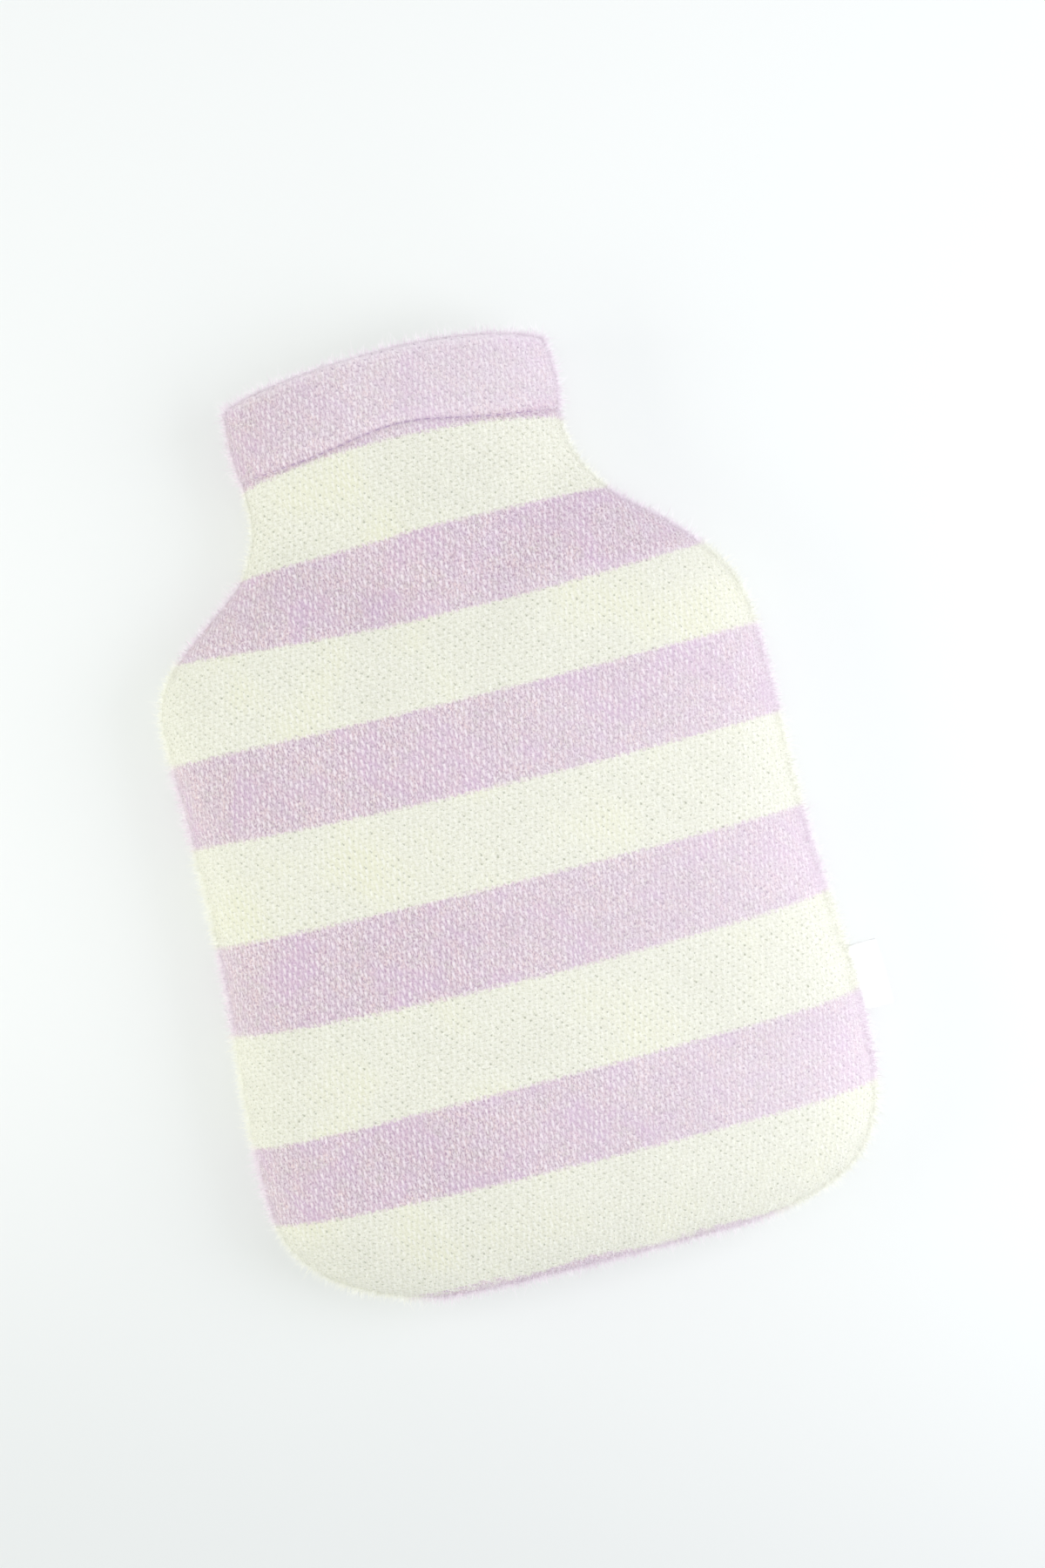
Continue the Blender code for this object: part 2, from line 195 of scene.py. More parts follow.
# The hem
HEM_EDGE = 0.1340  # the turned-in cloth ends here
FOLD_STEP = 0.004  # the folded edge is followed in steps this wide
SEAM_MIDDLE = 0.1393  # y of the hem's line of stitches in the middle, and at the neck's sides
SEAM_SIDE = 0.1335
SEAM_BEND = 0.028
SEAM_DEPTH = 0.0009  # the stitches pull the thick cloth in this far
SEAM_HALF = 0.0010
SEAM_REACH = 0.0055  # the cloth has finer faces this far on both sides of the stitches
SEAM_CUTS = 2
# The cloth puffs out on both sides of the stitches: share of their depth, how far on, half width
SEAM_PUFFS = (
    (0.45, 0.0042, 0.0030),
    (0.15, -0.0026, 0.0014),
)
SEAM_FADES = (0.024, 0.050)  # between these, out from the middle, the groove's painted dark line fades
SEAM_FAINTEST = 0.45
STITCH = 0.0036  # from one stitch to the next
STITCH_SHOWN = 0.62  # the share of it that lies on top
STITCH_LONGEST = 1.8  # a step of more stitches than this has left the neck's edge
STITCH_SUNK = 0.1  # of the thread's width
THREAD = 0.00045

# Where one stripe ends and the next begins, seen from above, from the mouth to the bottom seam.
# name, half width, y at the left, in the middle and at the right
STRIPE_EDGES = (
    ("neck band to first cream", 0.058, 0.1305, 0.1346, 0.1298),
    ("first cream to shoulder lilac", 0.064, 0.0992, 0.1006, 0.1020),
    ("shoulder lilac to second cream", 0.095, 0.0748, 0.0695, 0.0740),
    ("second cream to second lilac", 0.100, 0.0389, 0.0384, 0.0413),
    ("second lilac to third cream", 0.100, 0.0082, 0.0057, 0.0082),
    ("third cream to third lilac", 0.100, -0.0285, -0.0288, -0.0264),
    ("third lilac to fourth cream", 0.100, -0.0609, -0.0629, -0.0590),
    ("fourth cream to last lilac", 0.100, -0.1018, -0.0996, -0.0962),
    ("last lilac to last cream", 0.100, -0.1306, -0.1310, -0.1291),
    ("last cream to bottom seam", 0.070, -0.1681, -0.1674, -0.1679),
)
STRIPE = 0.034  # one stripe
STRIPE_BEND = 1.15  # an edge bends on to this share of its half width, and then runs straight across
# The bottom seam takes in more cloth here and there: depth, radians to the metre, start in radians
SEAM_WAVES = (
    (0.0006, 930.0, 0.0),
    (0.0010, 2170.0, 1.0),
)
BAND_STARTS = 0.02  # the least number on the neck band, which is lilac up to its fold
TURNED_IN = -0.5  # the number on the turned-in cloth, which is cream

# Where the cloth lies under another layer, a ray that runs outwards from it meets that layer.
RAY_LEAN = 0.45  # it leans sideways by this share of its point's x
RAY_LIFT = 0.004  # and up or down by this more than its point lies from the panel's seam
RAY_START = 0.0003
RAY_LENGTH = 0.05

# The nap: wool ends raised by brushing. They show most where the cloth bends over.
HAIR = 0.00011  # wider than wool, so that it shows
BLADE_POINTS = 5
BLADE_CORNERS = 7  # four on its lower face and three on its upper one
HAIR_ROOT = 0.0003  # how deep in the cloth it starts
HAIR_LIFT = (0.1, 0.9)  # from lying almost flat to almost upright
HAIR_BEND = 0.6  # how far the outer half leans over
HAIR_CURL = 0.45
FIBRE_PAINTED_GLOW = 0.07  # painted glow: the fibres give off this much light in their own colour
NAP = 64000  # on each panel
NAP_LENGTH = (0.0012, 0.0034)
NAP_SPREAD = (0.8, 1.0)  # lengths lean to the short ones if under 1, and shades to pale if over 1
NAP_ON_FLAT = 0.35  # how thickly it grows on flat cloth, and how much more where that is upright
NAP_ON_SIDES = 1.6
NAP_ACROSS = (-0.04, 0.08)  # it is sparse to the left of these and thick to the right, where its pale hairs help paint the brighter light
NAP_AT_LEFT = 0.5
NAP_AT_RIGHT = 2.0
LOOSE = 66000  # longer loose hairs, round the sides alone
LOOSE_LENGTH = (0.0014, 0.0076)
LOOSE_SPREAD = (0.5, 2.5)
LOOSE_FROM = 0.4  # how upright the cloth is where they start
MOUTH_STARTS = 0.158  # beyond this lies the folded edge, with so many times more loose hair
MOUTH_LOOSE = 3.0

# Painted light: how far the cloth's colour is paled, as if lit more brightly
PAINTED_LIGHT_RIGHT = 0.37  # on the body's right side
PAINTED_LIGHT_ACROSS = (-0.03, 0.08)  # it grows between these
PAINTED_LIGHT_ALONG = (-0.12, 0.06)  # by the second, it is down to half
PAINTED_LIGHT_ENDS = 0.075  # it ends at the shoulders
PAINTED_LIGHT_BAND = 0.34  # on the neck band
PAINTED_LIGHT_BAND_ACROSS = (-0.07, 0.03)
PAINTED_LIGHT_BAND_RISE = 0.004
PAINTED_HIGHLIGHT_SIDE = 0.30  # painted highlight on upright cloth
PAINTED_HIGHLIGHT_TILT = (0.25, 0.85)
PAINTED_LIGHT_MOUTH = 0.55  # painted light on the last few millimetres before the folded edge
MOUTH_REACH = 0.004
PAINTED_LIGHT_MOST = 0.8


def select_only(thing):
    bpy.ops.object.select_all(action="DESELECT")
    thing.select_set(True)
    bpy.context.view_layer.objects.active = thing


def linear(code):
    """An sRGB hex colour as the linear one that a shader takes."""
    shares = [int(code[k : k + 2], 16) / 255 for k in (1, 3, 5)]
    return tuple(c / 12.92 if c <= 0.04045 else ((c + 0.055) / 1.055) ** 2.4 for c in shares) + (1.0,)


def first_output(node):
    return next(socket for socket in node.outputs if socket.enabled)


def add(tree, kind, *values, **settings):
    """A shader node with its settings. Its open inputs take the values: numbers, sockets or nodes."""
    node = tree.nodes.new("ShaderNode" + kind)
    for name, value in settings.items():
        setattr(node, name, value)
    for socket, value in zip([s for s in node.inputs if s.enabled], values):
        if isinstance(value, bpy.types.Node):
            value = first_output(value)
        if isinstance(value, bpy.types.NodeSocket):
            tree.links.new(value, socket)
        else:
            socket.default_value = value
    return node


def new_material(name):
    material = bpy.data.materials.new(name)
    material.use_nodes = True
    return material, material.node_tree, material.node_tree.nodes["Principled BSDF"]


def warp_float(tree, across, along, row):
    """One pick's warp floats near a point: the pale stroke, and the pinholes where it dives under.

    A pick's floats come up a repeat apart, and a step to the right of those of the pick above.
    Each lies a little askew and shows more or less than the next.
    """
    moved = add(tree, "Math", row, STEP, across, operation="MULTIPLY_ADD")
    counted = add(tree, "Math", moved, REPEAT, operation="DIVIDE")
    nearest = add(tree, "Math", counted, operation="ROUND")
    own = add(tree, "CombineXYZ", nearest, row, 0.0)
    chance = add(tree, "TexWhiteNoise", own, noise_dimensions="3D")
    part = add(tree, "SeparateXYZ", chance.outputs["Color"])
    from_centre = add(tree, "Math", counted, nearest, operation="SUBTRACT")
    aside = add(tree, "Math", part.outputs["X"], FLOAT_ASIDE, -FLOAT_ASIDE / 2, operation="MULTIPLY_ADD")
    from_centre = add(tree, "Math", from_centre, aside, operation="ADD")
    x = add(tree, "Math", from_centre, REPEAT, operation="MULTIPLY")
    below = add(tree, "Math", row, 0.5, operation="ADD")
    below = add(tree, "Math", below, -PICK, along, operation="MULTIPLY_ADD")
    y = add(tree, "Math", part.outputs["Y"], FLOAT_ONWARD, below, operation="MULTIPLY_ADD")
    leaning = add(tree, "Math", y, FLOAT_LEAN, x, operation="MULTIPLY_ADD")
    place = add(tree, "CombineXYZ", leaning, y, 0.0)

    size = (1 / FLOAT_HALF_WIDTH, 1 / FLOAT_HALF_LENGTH, 0.0)
    from_float = add(tree, "VectorMath", place, size, operation="MULTIPLY")
    away = add(tree, "VectorMath", from_float, operation="LENGTH").outputs["Value"]
    stroke = add(tree, "MapRange", away, 1.0, FLOAT_CORE, 0.0, 1.0, interpolation_type="SMOOTHSTEP")
    shown = (1 - FLOAT_LEAST, FLOAT_LEAST)
    shown = add(tree, "Math", part.outputs["Z"], *shown, operation="MULTIPLY_ADD")
    stroke = add(tree, "Math", stroke, shown, operation="MULTIPLY")

    from_hole = add(tree, "VectorMath", place, (0.0, PICK * 0.5, 0.0), operation="SUBTRACT")
    away = add(tree, "VectorMath", from_hole, operation="LENGTH").outputs["Value"]
    wide = (PINHOLE_RANGE, PINHOLE_LEAST)
    wide = add(tree, "Math", part.outputs["X"], *wide, operation="MULTIPLY_ADD")
    hole = add(tree, "MapRange", away, wide, 0.0, 0.0, 1.0, interpolation_type="SMOOTHSTEP")
    deep = add(tree, "Math", part.outputs["Y"], PINHOLE_DEPTHS, operation="POWER")
    hole = add(tree, "Math", hole, deep, operation="MULTIPLY")

    from_side = add(tree, "VectorMath", place, SIDE_HOLE_AT, operation="SUBTRACT")
    away = add(tree, "VectorMath", from_side, operation="LENGTH").outputs["Value"]
    side_hole = add(tree, "MapRange", away, SIDE_HOLE, 0.0, 0.0, 1.0, interpolation_type="SMOOTHSTEP")
    shallow = add(tree, "Math", part.outputs["Z"], SIDE_HOLE_DEPTH, operation="MULTIPLY")
    side_hole = add(tree, "Math", side_hole, shallow, operation="MULTIPLY")
    hole = add(tree, "Math", hole, side_hole, operation="MAXIMUM")
    return stroke, hole


def satin_weave(tree):
    """A five-end satin at a point of the cloth: its place, warp floats, pinholes and picks."""
    place = add(tree, "UVMap", uv_map="cloth")
    wander = add(tree, "TexNoise", place, *WANDERS, noise_dimensions="2D").outputs["Color"]
    wander = add(tree, "VectorMath", wander, (0.5, 0.5, 0.5), operation="SUBTRACT")
    wander = add(tree, "VectorMath", wander, (YARN_WANDER, YARN_WANDER, 0.0), operation="MULTIPLY")
    loose = add(tree, "VectorMath", place, wander, operation="ADD")
    part = add(tree, "SeparateXYZ", loose)
    across, along = part.outputs["X"], part.outputs["Y"]
    picks = add(tree, "Math", along, PICK, operation="DIVIDE")
    row = add(tree, "Math", picks, operation="FLOOR")
    warp = gap = 0.0
    for nearby in (-1.0, 0.0, 1.0):
        neighbour = add(tree, "Math", row, nearby, operation="ADD")
        stroke, hole = warp_float(tree, across, along, neighbour)
        warp = add(tree, "Math", warp, stroke, operation="MAXIMUM")
        gap = add(tree, "Math", gap, hole, operation="MAXIMUM")
    round_pick = add(tree, "Math", picks, math.pi, operation="MULTIPLY")
    round_pick = add(tree, "Math", round_pick, operation="SINE")
    round_pick = add(tree, "Math", round_pick, operation="ABSOLUTE")
    return place, warp, gap, round_pick


def lilac_share(tree, place):
    """1 in the lilac stripes and 0 in the cream ones. Hairs of each yarn cross and blur the edge."""
    stripe = add(tree, "Attribute", attribute_name="stripe").outputs["Fac"]
    ragged = add(tree, "TexNoise", place, *EDGE_TUFTS, noise_dimensions="2D")
    shift = add(tree, "Math", ragged, TUFT_REACH, -TUFT_REACH / 2, operation="MULTIPLY_ADD")
    phase = add(tree, "Math", stripe, shift, operation="ADD")
    phase = add(tree, "Math", phase, math.pi, operation="MULTIPLY")
    wave = add(tree, "Math", phase, operation="SINE")
    blur = (-STRIPE_BLUR, STRIPE_BLUR, 0.0, 1.0)
    return add(tree, "MapRange", wave, *blur, interpolation_type="SMOOTHSTEP")


def hair_streaks(tree, place):
    """Streaks of hair: those along the warp alone, and those along both yarns."""
    combed = add(tree, "VectorMath", place, WARP_HAIRS, operation="MULTIPLY")
    streaks = add(tree, "TexNoise", combed, *WARP_HAIR_LOOK, noise_dimensions="2D")
    streak = add(tree, "MapRange", streaks, *STREAK_RANGE)
    crossed = add(tree, "VectorMath", place, WEFT_HAIRS, operation="MULTIPLY")
    crosses = add(tree, "TexNoise", crossed, *WEFT_HAIR_LOOK, noise_dimensions="2D")
    both = add(tree, "Math", crosses, streaks, operation="ADD")
    both = add(tree, "MapRange", both, *BOTH_HAIRS_RANGE)
    return streak, both


def lilac_cloth(tree, place, warp, streak, painted_light):
    """A weft dyed in a blend of shades, pinkish, bluish, grey and violet, under a cream warp."""
    clouds = add(tree, "TexNoise", place, *PINK_CLOUDS, noise_dimensions="2D")
    cloud = add(tree, "MapRange", clouds, *PINK_RANGE)
    blend = add(tree, "TexNoise", place, *GREY_CLOUDS, noise_dimensions="2D")
    grey = add(tree, "SeparateXYZ", blend.outputs["Color"]).outputs["X"]
    grey = add(tree, "MapRange", grey, *GREY_RANGE)
    patches = add(tree, "TexNoise", place, *VIOLET_PATCHES, noise_dimensions="2D")
    patch = add(tree, "MapRange", patches, *VIOLET_RANGE)
    weft = add(tree, "Mix", cloud, linear(LILAC_BLUISH), linear(LILAC_PINKISH), data_type="RGBA")
    weft = add(tree, "Mix", grey, weft, linear(LILAC_GREY), data_type="RGBA")
    weft = add(tree, "Mix", streak, linear(LILAC_DEEP), weft, data_type="RGBA")
    weft = add(tree, "Mix", patch, weft, linear(LILAC_VIOLET), data_type="RGBA")
    fine = add(tree, "TexNoise", place, *SPECKS, noise_dimensions="2D")
    speck = add(tree, "MapRange", fine, *SPECK_RANGE)
    dull, pale = (linear(code) for code in LILAC_FLOAT)
    floats = add(tree, "Mix", speck, dull, pale, data_type="RGBA")
    cloth = add(tree, "Mix", warp, weft, floats, data_type="RGBA")
    # painted light pales the lilac cloth towards its lit colour
    return add(tree, "Mix", painted_light, cloth, linear(LILAC_PAINTED_LIT), data_type="RGBA")


def cream_cloth(tree, warp, both_hairs, broad, painted_light):
    """Undyed yarn both ways, warmer in places, so that only its hairs and gaps show."""
    deep, pale = (linear(code) for code in CREAM_YARN)
    weft = add(tree, "Mix", both_hairs, deep, pale, data_type="RGBA")
    warm = add(tree, "MapRange", broad, *WARM_RANGE)
    weft = add(tree, "Mix", warm, weft, linear(CREAM_WARM), data_type="RGBA")
    cloth = add(tree, "Mix", warp, weft, linear(CREAM_FLOAT), data_type="RGBA")
    # painted light pales the cream cloth too, but less
    thin_painted_light = add(tree, "Math", painted_light, CREAM_PAINTED_LIGHT_SHARE, operation="MULTIPLY")
    return add(tree, "Mix", thin_painted_light, cloth, linear(CREAM_PAINTED_LIT), data_type="RGBA")


def brushed_wool():
    """Woollen blanket cloth, brushed: a cream warp with a lilac or cream weft in five-end satin.

    In the lilac stripes the pale warp floats show as short strokes. In the cream ones the small
    gaps at their ends show, as pinholes. The nap blurs it all with fine hairs.
    """
    material, tree, shader = new_material("brushed_striped_wool")
    place, warp, gap, round_pick = satin_weave(tree)
    lilac = lilac_share(tree, place)
    streak, both_hairs = hair_streaks(tree, place)
    broad = add(tree, "TexNoise", place, *BROAD_SHADES, noise_dimensions="2D")
    # how much painted light pales the cloth here
    painted_light = add(tree, "Attribute", attribute_name="painted_light").outputs["Fac"]
    in_cream = cream_cloth(tree, warp, both_hairs, broad, painted_light)
    in_lilac = lilac_cloth(tree, place, warp, streak, painted_light)
    cloth = add(tree, "Mix", lilac, in_cream, in_lilac, data_type="RGBA")

    in_gap = add(tree, "Mix", lilac, linear(CREAM_GAP), linear(LILAC_GAP), data_type="RGBA")
    gap_shown = add(tree, "MapRange", lilac, *GAP_RANGE)
    gap = add(tree, "Math", gap, gap_shown, operation="MULTIPLY")
    cloth = add(tree, "Mix", gap, cloth, in_gap, data_type="RGBA")
    # painted shade in the stitches' groove, where the nap is also pressed
    seam = add(tree, "Attribute", attribute_name="seam").outputs["Fac"]
    groove_shade = add(tree, "MapRange", seam, *GROOVE_SHADE_RANGE)
    cloth = add(tree, "Mix", groove_shade, cloth, linear(LILAC_GROOVE_SHADE), data_type="RGBA")
    shade = add(tree, "MapRange", broad, *SHADE_RANGE)
    # painted shade in the valleys between picks
    valley_shade = add(tree, "MapRange", round_pick, *VALLEY_SHADE_RANGE)
    shade = add(tree, "Math", shade, valley_shade, operation="MULTIPLY")
    cloth = add(tree, "VectorMath", cloth, shade, operation="SCALE")
    tree.links.new(first_output(cloth), shader.inputs["Base Color"])

    relief = add(tree, "Math", round_pick, PICK_RELIEF, warp, operation="MULTIPLY_ADD")
    relief = add(tree, "Math", gap, GAP_RELIEF, relief, operation="MULTIPLY_ADD")
    relief = add(tree, "Math", streak, HAIR_RELIEF, relief, operation="MULTIPLY_ADD")
    bump = add(tree, "Bump", *WEAVE_BUMP, relief)
    tree.links.new(first_output(bump), shader.inputs["Normal"])
    shader.inputs["Roughness"].default_value = 0.95
    shader.inputs["Specular IOR Level"].default_value = 0.2
    shader.inputs["Sheen Weight"].default_value = 0.3
    shader.inputs["Sheen Roughness"].default_value = 0.5
    return material


def wool_fibres():
    """The raised ends of the wool: some pale, some in the yarn's own colour.

    Each gives off a little light in its own colour: a painted glow.
    """
    material, tree, shader = new_material("wool_fibres")
    stripe = add(tree, "Attribute", attribute_name="stripe").outputs["Fac"]
    shade = add(tree, "Attribute", attribute_name="shade").outputs["Fac"]
    phase = add(tree, "Math", stripe, math.pi, operation="MULTIPLY")
    wave = add(tree, "Math", phase, operation="SINE")
    share = add(tree, "MapRange", wave, -STRIPE_BLUR, STRIPE_BLUR, 0.0, 1.0)
    dyed, pale = (linear(code) for code in LILAC_FIBRE)
    lilac = add(tree, "Mix", shade, dyed, pale, data_type="RGBA")
    undyed, pale = (linear(code) for code in CREAM_FIBRE)
    cream = add(tree, "Mix", shade, undyed, pale, data_type="RGBA")
    colour = add(tree, "Mix", share, cream, lilac, data_type="RGBA")
    tree.links.new(first_output(colour), shader.inputs["Base Color"])
    # painted glow in the fibre's own colour
    tree.links.new(first_output(colour), shader.inputs["Emission Color"])
    shader.inputs["Emission Strength"].default_value = FIBRE_PAINTED_GLOW
    shader.inputs["Roughness"].default_value = 0.8
    shader.inputs["Specular IOR Level"].default_value = 0.2
    return material


def sewing_thread():
    """Spun polyester sewing thread, dyed lilac: its two plies wind round each other."""
    material, tree, shader = new_material("lilac_sewing_thread")
    place = add(tree, "TexCoord").outputs["Object"]
    plies = add(tree, "TexWave", place, 1 / THREAD_PLY, THREAD_UNEVEN, bands_direction="DIAGONAL")
    bump = add(tree, "Bump", *THREAD_BUMP, plies.outputs["Fac"])
    tree.links.new(first_output(bump), shader.inputs["Normal"])
    shader.inputs["Base Color"].default_value = linear(THREAD_COLOUR)
    shader.inputs["Roughness"].default_value = 0.6
    return material


def woven_ribbon():
    """White polyester ribbon, woven fine and smooth, with a soft shine across its threads."""
    material, tree, shader = new_material("white_woven_ribbon")
    place = add(tree, "TexCoord").outputs["Object"]
    ribs = add(tree, "TexWave", place, 1 / RIBBON_RIB, RIBBON_UNEVEN, bands_direction="Y")
    bump = add(tree, "Bump", *RIBBON_BUMP, ribs.outputs["Fac"])
    tree.links.new(first_output(bump), shader.inputs["Normal"])
    shader.inputs["Base Color"].default_value = linear(RIBBON_COLOUR)
    shader.inputs["Roughness"].default_value = 0.45
    return material


def glowing_table():
    """A white table top with a painted glow, so that shadows on it stay faint.

    Its painted glow is weaker towards the near left corner.
    """
    material, tree, shader = new_material("white_table_painted_glow")
    place = add(tree, "TexCoord").outputs["Object"]
    far = add(tree, "VectorMath", place, TABLE_WAY, operation="DOT_PRODUCT").outputs["Value"]
    spread = (*TABLE_GLOW_RISES, *TABLE_PAINTED_GLOW)
    glow = add(tree, "MapRange", far, *spread, interpolation_type="SMOOTHSTEP")
    # painted glow, weaker towards the near left corner
    tree.links.new(first_output(glow), shader.inputs["Emission Strength"])
    shader.inputs["Base Color"].default_value = linear(TABLE_COLOUR)
    shader.inputs["Roughness"].default_value = 0.9
    shader.inputs["Specular IOR Level"].default_value = 0.1
    shader.inputs["Emission Color"].default_value = linear(TABLE_GLOW_COLOUR)
    return material


def laid_cloth(node, name, levels):
    """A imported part's own form as one merged, smooth piece of cloth."""
    cloth = bpy.data.objects.new(name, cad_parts[node].data.copy())
    bpy.context.collection.objects.link(cloth)
    select_only(cloth)
    bpy.ops.object.mode_set(mode="EDIT")
    bpy.ops.mesh.select_all(action="SELECT")
    bpy.ops.mesh.remove_doubles(threshold=MERGE)
    bpy.ops.mesh.tris_convert_to_quads(face_threshold=QUAD_FOLD, shape_threshold=QUAD_SKEW)
    bpy.ops.object.mode_set(mode="OBJECT")
    smooth = cloth.modifiers.new("smooth", "SUBSURF")
    smooth.levels = levels
    smooth.render_levels = levels
    bpy.ops.object.modifier_apply(modifier=smooth.name)
    bpy.ops.object.shade_smooth()
    cloth.data.materials.clear()
    return cloth


def points_of(mesh):
    """The mesh's points and their normals, as arrays."""
    points = np.empty(len(mesh.vertices) * 3)
    mesh.vertices.foreach_get("co", points)
    normals = np.empty(len(mesh.vertices) * 3)
    mesh.vertex_normals.foreach_get("vector", normals)
    return points.reshape(-1, 3), normals.reshape(-1, 3)


def surface_of(mesh):
    """The mesh as a tree that rays can be sent at."""
    corners = [vertex.co for vertex in mesh.vertices]
    return BVHTree.FromPolygons(corners, [face.vertices for face in mesh.polygons])


def put(mesh, name, values):
    """Writes one number at each point of the mesh, for its material to read."""
    mesh.attributes.new(name, "FLOAT", "POINT").data.foreach_set("value", values)


def ramp(values, start, end):
    """0 up to the start, 1 from the end on, and even between."""
    return np.clip((values - start) / (end - start), 0, 1)


def seam_line(x):
    """Where the hem's stitches run: bowed up in the middle, as the hem is."""
    return SEAM_SIDE + (SEAM_MIDDLE - SEAM_SIDE) * np.exp(-((x / SEAM_BEND) ** 2))


def fold_line(points):
    """How far up the neck's folded edge comes at each point's x."""
    centres = np.arange(-NECK_HALF_WIDTH, NECK_HALF_WIDTH + FOLD_STEP, FOLD_STEP)
    tops = []
    for x in centres:
        near = np.abs(points[:, 0] - x) < FOLD_STEP / 2
        tops.append(points[near, 1].max(initial=HEM_EDGE))
    return np.interp(points[:, 0], centres, tops)


def neck_outward(points):
    """The way out of the neck's flattened tube at each point."""
    way = np.zeros_like(points)
    way[:, 0] = points[:, 0] / NECK_HALF_WIDTH**2
    way[:, 2] = (points[:, 2] - NECK_MIDDLE) / NECK_HALF_THICKNESS**2
    return way / np.maximum(np.linalg.norm(way, axis=1, keepdims=True), NOT_ZERO)


def press_troughs(cloth):
    """Adds the front's soft troughs and ridges, in its whole thickness."""
    points, _ = points_of(cloth.data)
    for _, x0, y0, x1, y1, half, depth in TROUGHS:
        start, run = np.array((x0, y0)), np.array((x1 - x0, y1 - y0))
        share = np.clip(((points[:, :2] - start) @ run) / (run @ run), 0, 1)
        off = np.linalg.norm(points[:, :2] - start - share[:, None] * run, axis=1)
        fade = ramp(points[:, 2], TROUGH_BASE, TROUGH_BASE + TROUGH_RISE)
        points[:, 2] -= depth * fade * np.exp(-((off / half) ** 2))
    cloth.data.vertices.foreach_set("co", points.ravel())
    cloth.data.update()


def sink_seam(cloth):
    """Pulls the hem in along its stitches, with the cloth puffed out on both sides of them."""
    select_only(cloth)
    bpy.ops.object.mode_set(mode="EDIT")
    bpy.ops.mesh.select_all(action="DESELECT")
    bpy.ops.object.mode_set(mode="OBJECT")
    for face in cloth.data.polygons:
        x, y, _ = face.center
        face.select = abs(y - float(seam_line(x))) < SEAM_REACH
    bpy.ops.object.mode_set(mode="EDIT")
    bpy.ops.mesh.subdivide(number_cuts=SEAM_CUTS, smoothness=0.0)
    bpy.ops.object.mode_set(mode="OBJECT")
    points, _ = points_of(cloth.data)
    off = points[:, 1] - seam_line(points[:, 0])
    pulled = np.exp(-((off / SEAM_HALF) ** 2))
    puffed = sum(share * np.exp(-(((off - on) / half) ** 2)) for share, on, half in SEAM_PUFFS)
    points += neck_outward(points) * (SEAM_DEPTH * (puffed - pulled))[:, None]
    cloth.data.vertices.foreach_set("co", points.ravel())
    # painted shade along the stitches, fading out towards the neck's sides
    shown = pulled * np.interp(np.abs(points[:, 0]), SEAM_FADES, (1.0, SEAM_FAINTEST))
    put(cloth.data, "seam", shown)
    cloth.data.update()
    bpy.ops.object.shade_smooth()


def covered(mesh, points, front):
    """Which points lie under another layer of the same panel, seen from outside."""
    surface = surface_of(mesh)
    under = np.zeros(len(points), bool)
    box_low, box_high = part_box("front_panel" if front else "back_panel")
    seam = box_low[2] if front else box_high[2]
    lift = RAY_LIFT if front else -RAY_LIFT
    for k, point in enumerate(points):
        way = Vector((point[0] * RAY_LEAN, 0.0, point[2] - seam + lift)).normalized()
        under[k] = surface.ray_cast(Vector(point) + way * RAY_START, way, RAY_LENGTH)[0] is not None
    return under


def stripe_number(x, y):
    """Counts the stripes down from the mouth: a whole number lies on the edge between two."""
    edges = []
    for _, half, left, middle, right in STRIPE_EDGES:
        share = np.clip(x / half, -STRIPE_BEND, STRIPE_BEND)
        bow = (right + left) / 2 - middle
        edges.append(middle + share * (right - left) / 2 + share**2 * bow)
    for depth, rate, start in SEAM_WAVES:
        edges[-1] = edges[-1] - depth * np.sin(x * rate + start)
    edges = np.array([edges[0] + STRIPE, *edges, edges[-1] - STRIPE])
    number = np.zeros_like(y)
    for k in range(len(edges) - 1):
        inside = (y <= edges[k]) & (y > edges[k + 1])
        number = np.where(inside, k + (edges[k] - y) / (edges[k] - edges[k + 1]), number)
    return np.where(y <= edges[-1], len(edges) - 0.5, number)


def rolled_out(points, normals):
    """Where each point lies on the flat cloth: x and y, let out over the rounded sides and end."""
    tilt = np.arccos(np.clip(np.abs(normals[:, 2]), 0, 1))
    roll = np.interp(points[:, 1], SHOULDERS, (SIDE_ROLL, NECK_ROLL))
    more = roll * (tilt - np.sin(tilt))
    level = normals[:, :2] / np.maximum(np.linalg.norm(normals[:, :2], axis=1), NOT_ZERO)[:, None]
    level *= np.sign((level * points[:, :2]).sum(1))[:, None]
    level[points[:, 1] > NECK_STRAIGHT, 1] = 0.0
    return points[:, :2] + more[:, None] * level


def painted_light_share(points, normals):
    """How much painted light pales the colour: to the right, on the neck band, sides and by the folded
    edge.
    """
    x, y = points[:, 0], points[:, 1]
    right = ramp(x, *PAINTED_LIGHT_ACROSS) * np.interp(y, PAINTED_LIGHT_ALONG, (PAINTED_LIGHT_RIGHT, PAINTED_LIGHT_RIGHT * 0.5))
    right[y > PAINTED_LIGHT_ENDS] = 0.0
    band = ramp(y, SEAM_SIDE, SEAM_SIDE + PAINTED_LIGHT_BAND_RISE) * ramp(x, *PAINTED_LIGHT_BAND_ACROSS) * PAINTED_LIGHT_BAND
    side = PAINTED_HIGHLIGHT_SIDE * ramp(1 - np.abs(normals[:, 2]), *PAINTED_HIGHLIGHT_TILT)
    mouth = PAINTED_LIGHT_MOUTH * np.clip(1 - (fold_line(points) - y) / MOUTH_REACH, 0, 1)
    return np.minimum(right + band + side + mouth, PAINTED_LIGHT_MOST)


